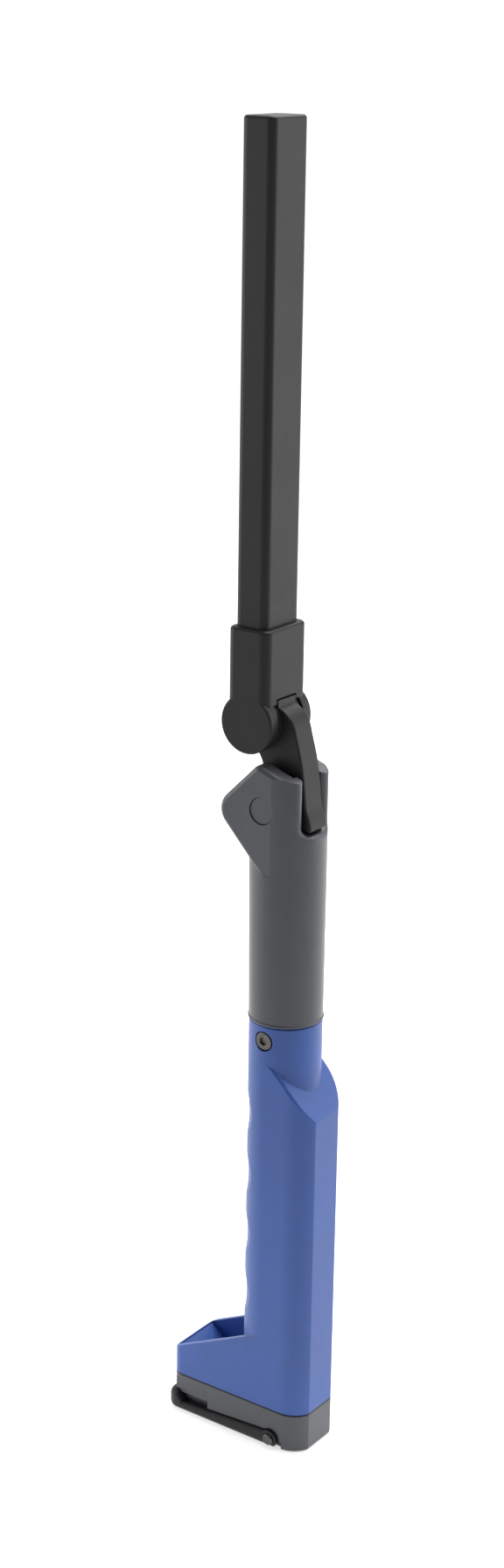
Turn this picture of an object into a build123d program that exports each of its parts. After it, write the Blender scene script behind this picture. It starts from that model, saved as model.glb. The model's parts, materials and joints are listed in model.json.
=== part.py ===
from build123d import *

import math
import os

# Folding cordless inspection lamp, in millimetres.
# Origin: on the axis of the round neck, in the plane of the foot's underside.
# +Z is up, -Y is the front (toe, finger grooves and light window), +Y is the back.
# Both fold axes run along X, and the neck swivels about Z.

# ---------------------------------------------------------------- driving sizes
# grip and toe
GRIP_R = 13.9                   # half width of the grip, and radius of its round front
GRIP_BACK = 19.8                # flat back face of the grip
BACK_CORNER_R = 10.8            # large back corners, which meet the flat back at a soft crease
BACK_CORNER_Y = 9.9             # where those corners leave the flat sides
CREASE_R = 0.8
SHOULDER_Z = 163.0              # top of the grip's flat back, where it slopes in to the neck
TOE_FRONT = -42.2               # front face of the toe
TOE_CORNER_R = 4.5              # front corners of the toe
RIM_FRONT_Z = 27.0              # toe's rims at the front, and their slope towards the grip
RIM_SLOPE = 0.48
POCKET_HALF = 11.3              # pocket between the rims
POCKET_FLOOR = 22.0
WALL = 2.3                      # moulded wall
SEAM_BEVEL = 0.5                # small bevel on both sides of a visible seam

# finger grooves
GROOVE_COUNT = 4
GROOVE_FIRST_Z = 61.5
GROOVE_PITCH = 25.4
GROOVE_FLOOR_R = 15.0           # groove floor, seen from above, about GROOVE_CENTRE_Y
GROOVE_CENTRE_Y = 2.3
GROOVE_SWEEP_R = 50.0           # groove floor, seen from the side

# base cap, magnets and screws
CAP_TOP = 16.4                  # seam between the base cap and the housing
CAP_LIP_TOP = CAP_TOP + 2.2     # lip that centres the cap inside the housing
CAP_FLOOR_Z = 6.6               # floor inside the cap
BASE_SCREW_SPOTS = [(0, 12.6), (-6.6, -34.5), (6.6, -34.5)]
BASE_SCREW_R = 1.3
BASE_SCREW_HEAD_R = 2.5
BASE_BOSS_R = 2.9
MAGNET_R = 7.0
MAGNET_SPOTS = [-24.5, -9.0]    # Y of each magnet
KEEPER_BOTTOM = 5.1
KEEPER_THICK = 1.5
RELIEF_DEPTH = 1.2              # finger relief beside the hook's rail
RELIEF_BACK = -24.5

# hanging hook
HOOK_PIVOT = (6.0, 4.0)         # hinge axis of the hanging hook, as (Y, Z)
HOOK_OUTER = 15.1
HOOK_INNER = 11.6
HOOK_FRONT = -44.4
HOOK_REAR_INNER = -39.9         # inner face of the hook's front bar
HOOK_FLOOR = 0.3                # underside of the stowed hook
HOOK_BAR_TOP = 8.4              # top of the hook's front bar
HOOK_RAIL_TOP = (4.4, 7.0)      # top of its rails at the front and at the pivot
HOOK_CORNER_R = 5.0
HOOK_BAR_ROUND = 2.6            # rounding of the front bar, and of the rails
HOOK_RAIL_ROUND = 1.2
HOOK_SLOT_END = 11.2
HOOK_PIN_R = 1.5
EAR_R = 3.6

# bore, spigot and neck screw
BORE_R = 10.6                   # round bore above the battery space
BORE_BOTTOM = 138.0
SPIGOT_R = 10.5
SPIGOT_BOTTOM = 162.0
SCREW_Z = 170.7                 # neck screw
SCREW_Y = -0.5
NECK_SCREW_SEAT = 12.2
NECK_SCREW_R = 1.5
NECK_SCREW_HEAD_R = 3.45
NECK_SCREW_TIP = 9.2
SEAL_Z = 164.6
SEAL_R = 0.9
SEAL_RING_R = BORE_R - 0.02 - SEAL_R

# swivel neck
NECK_SEAM = 176.8               # seam between the housing and the swivel neck
NECK_R = 14.0                   # swivel neck radius at the seam
FORK_Z = 236.0                  # lower end of the fork's own shape
FLARE_R = 14.4                  # plan circle of the neck at the fork, and its Y
FLARE_Y = -0.4
FORK_FLOOR_FRONT = 250.7
FORK_FLOOR_BACK = 251.4
FORK_RIM_R = 2.5                # soft rim where the fork's slot runs out at the back

# folds
LOWER_PIVOT = (-2.8, 260.6)     # fold axis between neck and link, as (Y, Z)
UPPER_PIVOT = (-11.3, 291.3)    # fold axis between link and head, as (Y, Z)
CHEEK_HALF = 14.3               # outer faces of the neck's fork
CHEEK_GAP = 8.0                 # half distance between the inner faces of a fork
LINK_HALF = 7.5                 # half width of the link's knuckles
STRAP_HALF = 5.4                # half width of the link between them
STRAP_EDGE_R = 0.8
STRAP_SLOT_HALF = 6.0           # half width of the slots that the strap lies in
LOWER_KNUCKLE_R = 9.3
UPPER_KNUCKLE_R = 10.4
PIN_R = 3.0                     # fold pins
PIVOT_SEAT = 11.0               # end of a fold pin, and floor of its cap's seat
LOWER_CAP_R = 5.3
LOWER_CAP_THICK = 2.9
UPPER_CAP_R = 4.5
UPPER_CAP_THICK = 1.5
WASHER_R = 7.0
RUNNING = 0.05                  # radial clearance of a running fit
MOVE_GAP = 0.35                 # clearance between pieces that move past each other

# power button
BUTTON_Z = 153.0
BUTTON_HALF = 4.0
BUTTON_TALL = 14.0
BUTTON_CORNER_R = 2.5
BUTTON_FLANGE = -10.5           # inner face of the button's flange

# cell, boards and charging port
CELL_R = 9.2                    # lithium cell, 18.4 x 65
CELL_LENGTH = 65.0
CELL_BOTTOM = 47.5
CHASSIS_R = 11.2
BOARD_THICK = 1.6
CHARGE_BOARD_Z = 30.0
DRIVER_BOARD_Y = -5.0           # back face of the upright driver board
PORT_Y = 4.5                    # charging socket, behind a cover on the -X side
PORT_Z = 33.2
PORT_HALF = 4.5
PORT_COVER_HALF = 6.25
PORT_COVER_TOP = PORT_Z + 4.25
PORT_COVER_AXIS = (-GRIP_R + 0.55, 28.2)    # hinge of the port cover, as (X, Z)

# lamp bar
BAR_HALF = 10.6                 # half width of the lamp bar
BAR_FRONT = -18.5
BAR_BACK = -4.8
BAR_CORNER_R = 2.7
BAR_BOTTOM = 304.6              # end of the bar inside its socket
BAR_TOP = 503.0
BAR_WALL = 1.6
WINDOW_HALF = 7.8               # light window in the bar's front
WINDOW_BOTTOM = 334.0
WINDOW_TOP = 498.0
LENS_FACE = -18.3
LENS_BACK = -17.0
LENS_RIM_BACK = -16.1
GASKET_BACK = -15.5
LED_BOARD_FRONT = -13.2
LED_BOARD_BACK = -11.6
LED_COUNT = 15
LED_HALF = 1.75
LED_MARGIN = 6.0                # from the window's ends to the first and last light source
SINK_FINS = (-6.6, -2.2, 2.2, 6.6)

# socket of the lamp bar
SOCKET_HALF = 12.75
SOCKET_FRONT = -20.3
SOCKET_BACK = -2.5
SOCKET_TOP = 326.6
SOCKET_CORNER_R = 3.3
SOCKET_DISC_R = 11.2
HEAD_SCREW_Z = [310.0, 320.0]
HEAD_SCREW_R = 1.3
HEAD_SCREW_HEAD_R = 2.5
HEAD_SCREW_SINK = 0.7

FAR = 200.0                     # longer than any cut it is used for

os.makedirs("parts", exist_ok=True)


# ---------------------------------------------------------------- helpers
def box(low, high):
    """Box between two corners."""
    size = [h - l for l, h in zip(low, high)]
    centre = [(h + l) / 2 for l, h in zip(low, high)]
    return Pos(*centre) * Box(*size)


def polygon(*points):
    """Filled polygon from its corners."""
    return make_face(Polyline(*points, close=True))


def side_slab(face, half):
    """Solid of a (Y, Z) outline, extruded to both sides of the middle plane."""
    return extrude(Plane.YZ * face, half, both=True)


def disc_x(centre, radius, low, high):
    """Round bar along X between two X values, about a (Y, Z) centre."""
    return Pos((low + high) / 2, *centre) * Rot(0, 90, 0) * Cylinder(radius, high - low)


def disc_z(x, y, radius, low, high):
    """Round bar along Z between two heights."""
    return Pos(x, y, (low + high) / 2) * Cylinder(radius, high - low)


def soft_bar(half, front, back, corner_r):
    """Rounded rectangle seen from above, centred on X."""
    outline = Pos(0, (front + back) / 2) * Rectangle(2 * half, back - front)
    return fillet(outline.vertices(), corner_r)


def raised(face, low, high):
    """Solid of a plan outline between two heights."""
    return Pos(0, 0, low) * extrude(face, high - low)


def screw(head_r, head_h, shank_r, length, drive_r):
    """Socket screw with the top of its head at the origin and its shank down -Z."""
    body = Pos(0, 0, -head_h / 2) * Cylinder(head_r, head_h)
    body += Pos(0, 0, -(head_h + length) / 2) * Cylinder(shank_r, length - head_h)
    body = chamfer(body.edges().group_by(Axis.Z)[0], 0.3 * shank_r)
    body = fillet(body.edges().group_by(Axis.Z)[-1], 0.25 * head_h)
    return body - extrude(RegularPolygon(drive_r, 6), -0.6 * head_h)


def at(point, direction):
    """Placement that turns a screw's +Z into the given direction."""
    return Plane(origin=point, z_dir=direction).location


def back_edges(inset, side_y):
    """Edges round the back of the grip, between the two points of its sides at a given Y."""
    half = GRIP_R - inset
    radius = BACK_CORNER_R - inset
    back = GRIP_BACK - inset
    sweep = math.degrees(math.asin((back - BACK_CORNER_Y) / radius))
    centre_x = GRIP_R - BACK_CORNER_R
    right = CenterArc((centre_x, BACK_CORNER_Y), radius, 0, sweep)
    left = CenterArc((-centre_x, BACK_CORNER_Y), radius, 180 - sweep, sweep)
    sides = [Line((half, side_y), right @ 0), Line(left @ 1, (-half, side_y))]
    return [sides[0], right, Line(right @ 1, left @ 0), left, sides[1]]


def creased(face, inset):
    """The same outline with its two back creases softened."""
    back_corners = face.vertices().group_by(Axis.Y)[-1]
    return fillet(back_corners, max(CREASE_R - inset, 0.2))


def grip_plan(inset=0.0):
    """Grip seen from above: round front, flat sides and a flat back with large corners."""
    half = GRIP_R - inset
    front = ThreePointArc((-half, 0), (0, -half), (half, 0))
    return creased(make_face([*back_edges(inset, 0), front]), inset)


def foot_plan(inset=0.0):
    """Foot seen from above: the grip's back with the toe out to the front."""
    half = GRIP_R - inset
    front = TOE_FRONT + inset
    toe_edges = Polyline((-half, 0), (-half, front), (half, front), (half, 0)).edges()
    outline = make_face([*back_edges(inset, 0), *toe_edges])
    outline = fillet(outline.vertices().group_by(Axis.Y)[0], max(TOE_CORNER_R - inset, 0.6))
    return creased(outline, inset)


# ---------------------------------------------------------------- handle
def toe():
    """Toe with two rims that rise towards the grip, and a pocket between them."""
    lip = 1.4
    pocket_slope = 5.9
    rim_round = 0.9
    rim_top = RIM_FRONT_Z - TOE_FRONT * RIM_SLOPE
    high = rim_top + 10
    block = raised(foot_plan(), CAP_TOP + 2, rim_top)
    block -= box((-FAR, 0, 0), (FAR, FAR, FAR))
    above = polygon((TOE_FRONT - 1, RIM_FRONT_Z - RIM_SLOPE), (0, rim_top), (0, high), (TOE_FRONT - 1, high))
    block -= side_slab(above, FAR)
    top_edges = block.faces().sort_by(Axis.Z)[-1].edges().sort_by(Axis.Y)[:-1]
    block = fillet(top_edges, rim_round)
    top = TOE_FRONT + lip
    slope_end = top + pocket_slope
    pocket = polygon((top, RIM_FRONT_Z), (slope_end, POCKET_FLOOR), (0, POCKET_FLOOR), (0, high), (top, high))
    return block - side_slab(pocket, POCKET_HALF)


def handle_housing():
    """Grip, toe and round upper end in one moulding, hollow and open at both ends."""
    slope_foot = 139.0
    slope_round = 1.1
    grip = raised(grip_plan(), CAP_TOP + 2, SHOULDER_Z)
    slope = ThreePointArc((0.5, SHOULDER_Z + 0.1), (11.5, 153.0), (GRIP_BACK + 1.0, slope_foot))
    corner = (GRIP_BACK + 1.0, SHOULDER_Z + 0.1)
    behind = make_face([slope, Line(slope @ 1, corner), Line(corner, slope @ 0)])
    grip -= side_slab(behind, FAR)
    high_faces = grip.faces().filter_by(lambda f: slope_foot < f.center().Z < SHOULDER_Z - 1)
    slope_face = high_faces.filter_by(lambda f: f.normal_at().Z > 0.3)[0]
    grip = fillet(slope_face.edges().filter_by(lambda e: e.center().Y > 3), slope_round)
    foot = raised(foot_plan(), CAP_TOP, CAP_TOP + 4)
    foot = chamfer(foot.edges().group_by(Axis.Z)[0], SEAM_BEVEL)
    upper = disc_z(0, 0, GRIP_R, BORE_BOTTOM, NECK_SEAM)
    upper = chamfer(upper.edges().group_by(Axis.Z)[-1], SEAM_BEVEL)
    shell = grip + upper
    groove = Torus(GROOVE_FLOOR_R + GROOVE_SWEEP_R, GROOVE_SWEEP_R)
    front_half = box((-FAR, -FAR, 0), (FAR, -3.0, FAR))
    for index in range(GROOVE_COUNT):
        height = GROOVE_FIRST_Z + index * GROOVE_PITCH
        shell -= (Pos(0, GROOVE_CENTRE_Y, height) * groove) & front_half
    shell += toe() + foot
    return shell - housing_hollow() + housing_bosses() - housing_holes()


def housing_hollow():
    """Battery space, toe space, round bore and the flat behind the button."""
    toe_roof = 19.6
    hollow = raised(grip_plan(WALL), 0, BORE_BOTTOM)
    hollow += raised(foot_plan(WALL), 0, toe_roof)
    hollow += disc_z(0, 0, BORE_R, BORE_BOTTOM - 1, FAR)
    flat_y = -GRIP_R + 2.2
    flat_half_w = 6.3
    flat_half_h = 8.6
    hollow += box((-flat_half_w, flat_y, BUTTON_Z - flat_half_h), (flat_half_w, -6.0, BUTTON_Z + flat_half_h))
    return hollow


def housing_bosses():
    """Screw bosses that stand down from the toe's roof and from the back wall."""
    toe_top = 21.0
    back_top = 27.0
    bosses = Part()
    for x, y in BASE_SCREW_SPOTS[1:]:
        bosses += disc_z(x, y, BASE_BOSS_R, CAP_LIP_TOP, toe_top)
    x, y = BASE_SCREW_SPOTS[0]
    bosses += disc_z(x, y, BASE_BOSS_R, CAP_LIP_TOP, back_top)
    bosses += box((-BASE_BOSS_R, y, CAP_LIP_TOP), (BASE_BOSS_R, GRIP_BACK - WALL + 0.2, back_top))
    return bosses


def housing_holes():
    """Screw holes, button opening, neck screw seat and the charging port's recess."""
    holes = Part()
    outside = GRIP_R + 6
    screw_tip = CAP_TOP + 3.9
    for x, y in BASE_SCREW_SPOTS:
        holes += disc_z(x, y, BASE_SCREW_R, 0, screw_tip)
    gap = 0.3
    opening = Pos(0, BUTTON_Z) * Rectangle(2 * (BUTTON_HALF + gap), BUTTON_TALL + 2 * gap)
    opening = fillet(opening.vertices(), BUTTON_CORNER_R + gap)
    holes += extrude(Plane.XZ * opening, outside)
    holes += disc_x((SCREW_Y, SCREW_Z), NECK_SCREW_HEAD_R + 0.55, NECK_SCREW_SEAT, outside)
    holes += disc_x((SCREW_Y, SCREW_Z), NECK_SCREW_R, NECK_SCREW_SEAT - 7, outside)
    holes += port_recess()
    return holes


def port_recess():
    """Shallow seat for the port cover, with the plug opening through the wall."""
    outside = -GRIP_R - 6
    low_z = PORT_COVER_AXIS[1] - 0.9
    high_z = PORT_COVER_TOP + MOVE_GAP
    half_y = PORT_COVER_HALF + MOVE_GAP
    mouth_y = PORT_HALF + 0.5
    mouth_z = 2.1
    seat = box((outside, PORT_Y - half_y, low_z), (-GRIP_R + 1.35, PORT_Y + half_y, high_z))
    mouth = box((outside, PORT_Y - mouth_y, PORT_Z - mouth_z), (-5, PORT_Y + mouth_y, PORT_Z + mouth_z))
    return seat + mouth


def hook_profile(grow=0.0):
    """Side outline of the stowed hook as (Y, Z): front bar, rail and ear."""
    front = HOOK_FRONT - 5
    rail_front = HOOK_REAR_INNER + 0.6
    ear_y, ear_z = HOOK_PIVOT
    rail_low, rail_high = HOOK_RAIL_TOP
    outline = polygon(
        (front, HOOK_FLOOR - grow),
        (ear_y, HOOK_FLOOR - grow),
        (ear_y, rail_high + grow),
        (rail_front + 3.0, rail_low + grow),
        (rail_front, HOOK_BAR_TOP + grow),
        (front, HOOK_BAR_TOP + grow),
    )
    return outline + Pos(ear_y, ear_z) * Circle(EAR_R + grow)


def base_cap():
    """Grey foot cap with a groove for the hook, finger reliefs and magnet seats."""
    core = 4.3
    foot_round = 1.8
    cap = raised(foot_plan(), 0, CAP_TOP)
    cap = fillet(cap.edges().group_by(Axis.Z)[0], foot_round)
    cap = chamfer(cap.edges().group_by(Axis.Z)[-1], SEAM_BEVEL)
    cap += raised(foot_plan(WALL), CAP_TOP - 1, CAP_LIP_TOP)
    cap -= raised(foot_plan(core), CAP_FLOOR_Z, CAP_TOP + 5)
    for x, y in BASE_SCREW_SPOTS:
        cap += disc_z(x, y, BASE_BOSS_R + 0.3, 1.0, CAP_LIP_TOP) & raised(foot_plan(WALL), 0, 2 * CAP_TOP)
    cap -= hook_groove() + finger_reliefs()
    for x, y in BASE_SCREW_SPOTS:
        cap -= disc_z(x, y, BASE_SCREW_R + 0.15, -1, 2 * CAP_TOP)
        cap -= disc_z(x, y, BASE_SCREW_HEAD_R + 0.2, -1, 2.6)
    for y in MAGNET_SPOTS:
        cap -= disc_z(0, y, MAGNET_R, -1, KEEPER_BOTTOM)
    cap -= magnet_keeper()
    return cap - disc_x(HOOK_PIVOT, HOOK_PIN_R, -FAR, FAR)


def hook_groove():
    """Groove round the cap that the stowed hook lies in, with room for its ears to swing."""
    bar_gap = 0.4
    plan = soft_bar(40, -90, HOOK_SLOT_END, 1.0)
    plan -= soft_bar(HOOK_INNER - bar_gap, HOOK_REAR_INNER + bar_gap, 60, 2.6)
    side = side_slab(hook_profile(MOVE_GAP), FAR)
    side += box((-FAR, -90, -1), (FAR, HOOK_PIVOT[0], 1))
    side += box((-FAR, HOOK_PIVOT[0] - EAR_R - MOVE_GAP, -1), (FAR, HOOK_SLOT_END, HOOK_PIVOT[1]))
    return raised(plan, -1, 2 * CAP_TOP) & side


def finger_reliefs():
    """Shallow hollow in each side of the toe, open to the front, with a deeper slot by the hook's rail."""
    outside = GRIP_R + 5
    past_front = TOE_FRONT - 5
    relief = box((GRIP_R - RELIEF_DEPTH, past_front, 4.0), (outside, RELIEF_BACK, CAP_TOP - 1.5))
    relief = fillet(relief.edges().filter_by(Axis.X), 2.2)
    nail = box((HOOK_INNER - 0.4, -39.6, 3.0), (outside, RELIEF_BACK - 0.7, 7.6))
    nail = fillet(nail.edges().filter_by(Axis.X).sort_by(Axis.Z)[-2:], 0.8)
    cut = relief + nail
    return cut + mirror(cut, Plane.YZ)


def magnet_keeper():
    """Steel strip over the two magnets, dropped in from inside the cap."""
    front = MAGNET_SPOTS[0] - MAGNET_R
    back = MAGNET_SPOTS[1] + MAGNET_R
    plan = soft_bar(MAGNET_R, front, back, 2.0)
    return raised(plan, KEEPER_BOTTOM, KEEPER_BOTTOM + KEEPER_THICK)


def base_magnets():
    """Two disc magnets, set just inside the foot's underside."""
    discs = [disc_z(0, y, MAGNET_R, 0.4, KEEPER_BOTTOM) for y in MAGNET_SPOTS]
    return [fillet(disc.edges().group_by(Axis.Z)[0], 0.4) for disc in discs]


def base_screws():
    """Three self-tapping screws up into the housing's bosses."""
    pattern = screw(BASE_SCREW_HEAD_R, 1.6, BASE_SCREW_R, 17.0, 1.2)
    return [at((x, y, 1.0), (0, 0, -1)) * pattern for x, y in BASE_SCREW_SPOTS]


def hook_pins():
    """Two headed pins pressed into the cap, one on each side."""
    pins = []
    for sign in (-1, 1):
        shank = disc_x(HOOK_PIVOT, HOOK_PIN_R, GRIP_R - 4.2, HOOK_OUTER + 0.1)
        head = disc_x(HOOK_PIVOT, 2.3, HOOK_OUTER + 0.05, HOOK_OUTER + 0.85)
        head = fillet(head.edges().group_by(Axis.X)[-1], 0.6)
        pin = shank + head
        pins.append(pin if sign > 0 else mirror(pin, Plane.YZ))
    return pins


def hanging_hook():
    """U-shaped hook that lies round the toe and swings down about its rear ears."""
    outer = soft_bar(HOOK_OUTER, HOOK_FRONT, 40, HOOK_CORNER_R)
    inner = soft_bar(HOOK_INNER, HOOK_REAR_INNER, 60, 3.4)
    hook = raised(outer - inner, -1, 20) & side_slab(hook_profile(), FAR)
    flat_z = (HOOK_FLOOR, HOOK_BAR_TOP)
    front_edges = hook.edges().filter_by(lambda e: e.center().Y < TOE_FRONT)
    bar_edges = front_edges.filter_by(lambda e: round(e.center().Z, 3) in flat_z)
    hook = fillet(bar_edges, HOOK_BAR_ROUND)
    outside = hook.edges().filter_by(lambda e: abs(e.center().X) > HOOK_OUTER - 0.1)
    rail_edges = outside.filter_by(lambda e: e.center().Z > HOOK_RAIL_TOP[0] and e.center().Y < HOOK_PIVOT[0])
    hook = fillet(rail_edges, HOOK_RAIL_ROUND)
    return hook - disc_x(HOOK_PIVOT, HOOK_PIN_R + RUNNING, -FAR, FAR)


# ---------------------------------------------------------------- inside the handle
def inner_chassis():
    """Open cradle that holds the cell, with a seat for each board."""
    bottom = CHARGE_BOARD_Z - 3.0
    top = 130.0
    plan = Circle(CHASSIS_R) - Circle(CELL_R + 0.1)
    plan -= Pos(0, -CHASSIS_R) * Rectangle(4 * CHASSIS_R, 2 * CHASSIS_R)
    cradle = raised(plan, bottom, top)
    for low in (CELL_BOTTOM - 3.5, CELL_BOTTOM + CELL_LENGTH + 1.0):
        wall = raised(Circle(CHASSIS_R - 0.5), low, low + 2.0)
        wall -= box((-3.0, -FAR, 0), (3.0, -CHASSIS_R + 3.0, FAR))
        cradle += wall
    seat = raised(Circle(CHASSIS_R - 0.5), bottom, CHARGE_BOARD_Z)
    seat -= raised(Circle(CHASSIS_R - 2.5), 0, FAR)
    cradle += seat
    cradle -= raised(charge_board_plan(), CHARGE_BOARD_Z, CHARGE_BOARD_Z + BOARD_THICK)
    cradle -= box((-FAR, -1.2, CHARGE_BOARD_Z), (-CHASSIS_R + 7, PORT_Y + 5.2, PORT_Z + 2.4))
    post_y = DRIVER_BOARD_Y
    for x in (-7.0, 7.0):
        cradle += box((x - 1.4, post_y, CELL_BOTTOM + CELL_LENGTH + 2.0), (x + 1.4, 7.0, 124.0))
    return cradle


def charge_board_plan():
    """Charging board: the cradle's round, cut flat towards the port."""
    return Circle(CHASSIS_R - 0.9) & soft_bar(9.6, -8.6, 9.2, 1.0)


def charge_board():
    """Charging circuit board, lying on the cradle's lower seat."""
    return raised(charge_board_plan(), CHARGE_BOARD_Z, CHARGE_BOARD_Z + BOARD_THICK)


def charge_socket():
    """Charging socket shell with its tongue, facing out to -X."""
    low_z = CHARGE_BOARD_Z + BOARD_THICK
    high_z = low_z + 3.2
    mouth_x = -GRIP_R + 2.6
    inner_x = -4.2
    sheet = 0.3
    corner_r = 1.3
    shell = box((mouth_x, PORT_Y - PORT_HALF, low_z), (inner_x, PORT_Y + PORT_HALF, high_z))
    shell = fillet(shell.edges().filter_by(Axis.X), corner_r)
    hollow_half = PORT_HALF - sheet
    low_corner = (mouth_x - 1, PORT_Y - hollow_half, low_z + sheet)
    high_corner = (inner_x - 1.5, PORT_Y + hollow_half, high_z - sheet)
    cavity = box(low_corner, high_corner)
    cavity = fillet(cavity.edges().filter_by(Axis.X), corner_r - sheet)
    middle = (low_z + high_z) / 2
    tongue = box((mouth_x + 1.0, PORT_Y - 3.3, middle - 0.35), (inner_x - 0.5, PORT_Y + 3.3, middle + 0.35))
    return shell - cavity + tongue


def battery_cell():
    """Rechargeable round cell with its raised positive end."""
    top = CELL_BOTTOM + CELL_LENGTH
    can = disc_z(0, 0, CELL_R, CELL_BOTTOM, top - 1.0)
    can = fillet(can.edges(), 0.6)
    crimp = raised(Circle(CELL_R + 1) - Circle(CELL_R - 0.4), top - 5.0, top - 4.2)
    return can - crimp + disc_z(0, 0, 3.2, top - 1.2, top)


def battery_contacts():
    """Leaf spring under the cell and flat contact above it."""
    low = CELL_BOTTOM - 1.5
    high = CELL_BOTTOM + CELL_LENGTH
    thick = 0.4
    leaf = polygon(
        (-6, low), (6, low), (6, low + thick), (-3.2, low + thick),
        (2.6, CELL_BOTTOM), (-1.4, CELL_BOTTOM), (-6, low + thick),
    )
    spring = extrude(Plane.XZ * leaf, 3, both=True)
    plate = box((-5, -4, high), (5, 4, high + 1.0))
    return spring, fillet(plate.edges().filter_by(Axis.Z), 1.0)


def driver_board():
    """Upright board behind the button."""
    front = DRIVER_BOARD_Y - BOARD_THICK
    board = box((-8.0, front, CELL_BOTTOM + CELL_LENGTH + 5), (8.0, DRIVER_BOARD_Y, 159.5))
    return fillet(board.edges().filter_by(Axis.Y), 1.0)


def tact_switch():
    """Push switch on the driver board, facing the button."""
    face = DRIVER_BOARD_Y - BOARD_THICK
    body = box((-3.0, face - 2.2, BUTTON_Z - 3.0), (3.0, face, BUTTON_Z + 3.0))
    body = chamfer(body.edges().filter_by(Axis.Y), 0.5)
    return body + Pos(0, face - 2.6, BUTTON_Z) * Rot(90, 0, 0) * Cylinder(1.6, 0.8)


def power_button():
    """Soft push button: proud face, stem through the wall and a flange inside."""
    proud = 0.45
    face = Pos(0, BUTTON_Z) * Rectangle(2 * BUTTON_HALF, BUTTON_TALL)
    face = fillet(face.vertices(), BUTTON_CORNER_R)
    stem = extrude(Plane.XZ * face, 2 * GRIP_R) & disc_z(0, 0, GRIP_R + proud, 0, FAR)
    stem -= box((-FAR, BUTTON_FLANGE, 0), (FAR, FAR, FAR))
    stem = fillet(stem.edges().filter_by(lambda e: e.center().Y < -GRIP_R + 0.8), 0.5)
    flange = box((-5.4, BUTTON_FLANGE - 0.8, BUTTON_Z - 8.0), (5.4, BUTTON_FLANGE, BUTTON_Z + 8.0))
    return stem + fillet(flange.edges().filter_by(Axis.Y), 2.0)


def neck_screw():
    """Screw whose tip runs in the spigot's groove and keeps the neck on."""
    head_h = 1.5
    length = NECK_SCREW_SEAT + head_h - NECK_SCREW_TIP
    pattern = screw(NECK_SCREW_HEAD_R, head_h, NECK_SCREW_R, length, 1.9)
    return at((NECK_SCREW_SEAT + head_h, SCREW_Y, SCREW_Z), (1, 0, 0)) * pattern


def port_cover():
    """Rubber cover with a hinge bead along its lower edge and a plug inside."""
    axis_x, axis_z = PORT_COVER_AXIS
    half = PORT_COVER_HALF
    bead_r = 0.55
    thick = 1.1
    top = PORT_COVER_TOP
    flap = box((-GRIP_R, PORT_Y - half, axis_z), (-GRIP_R + thick, PORT_Y + half, top))
    flap = fillet(flap.edges().filter_by(Axis.X).sort_by(Axis.Z)[-2:], 1.6)
    bead = Pos(axis_x, PORT_Y, axis_z) * Rot(90, 0, 0) * Cylinder(bead_r, 2 * half)
    plug_x = -GRIP_R + thick - 0.1
    plug = box((plug_x, PORT_Y - 4.0, PORT_Z - 1.2), (plug_x + 1.1, PORT_Y + 4.0, PORT_Z + 1.2))
    tab = box((-GRIP_R - 0.4, PORT_Y - 2.0, top - 1.6), (-GRIP_R + 0.5, PORT_Y + 2.0, top - 0.6))
    return flap + bead + fillet(plug.edges().filter_by(Axis.X), 0.9) + tab


# ---------------------------------------------------------------- swivel neck
def neck_outline():
    """Side outline of the fork: blunt nose, sloping top and upright back."""
    outline = polygon((-3.6, FORK_Z), (-24.6, 258.3), (-5.4, 277.6), (15.5, 270.5), (15.5, FORK_Z))
    nose = outline.vertices().sort_by(Axis.X)[0]
    outline = fillet(nose, 7.5)
    peak = outline.vertices().sort_by(Axis.Y)[-1]
    return fillet(peak, 3.0)


def neck_housing():
    """Grey neck: round tube below, two-cheek fork above, spigot into the handle."""
    flare = Pos(0, FLARE_Y) * Circle(FLARE_R)
    tube = loft([Pos(0, 0, NECK_SEAM) * Circle(NECK_R), Pos(0, 0, FORK_Z) * flare])
    tube = chamfer(tube.edges().group_by(Axis.Z)[0], SEAM_BEVEL)
    neck = tube + neck_fork() + spigot()
    neck -= disc_z(0, 0, 8.0, 0, NECK_SEAM + 5)
    neck -= disc_z(0, 0, 11.2, NECK_SEAM + 4, FORK_Z)
    neck -= disc_z(0, 0, 3.0, FORK_Z - 6, LOWER_PIVOT[1])
    neck -= disc_x(LOWER_PIVOT, PIN_R, -FAR, FAR)
    neck -= disc_x(LOWER_PIVOT, LOWER_CAP_R, -FAR, -PIVOT_SEAT)
    return neck - disc_x(LOWER_PIVOT, LOWER_CAP_R, PIVOT_SEAT, FAR)


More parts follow.
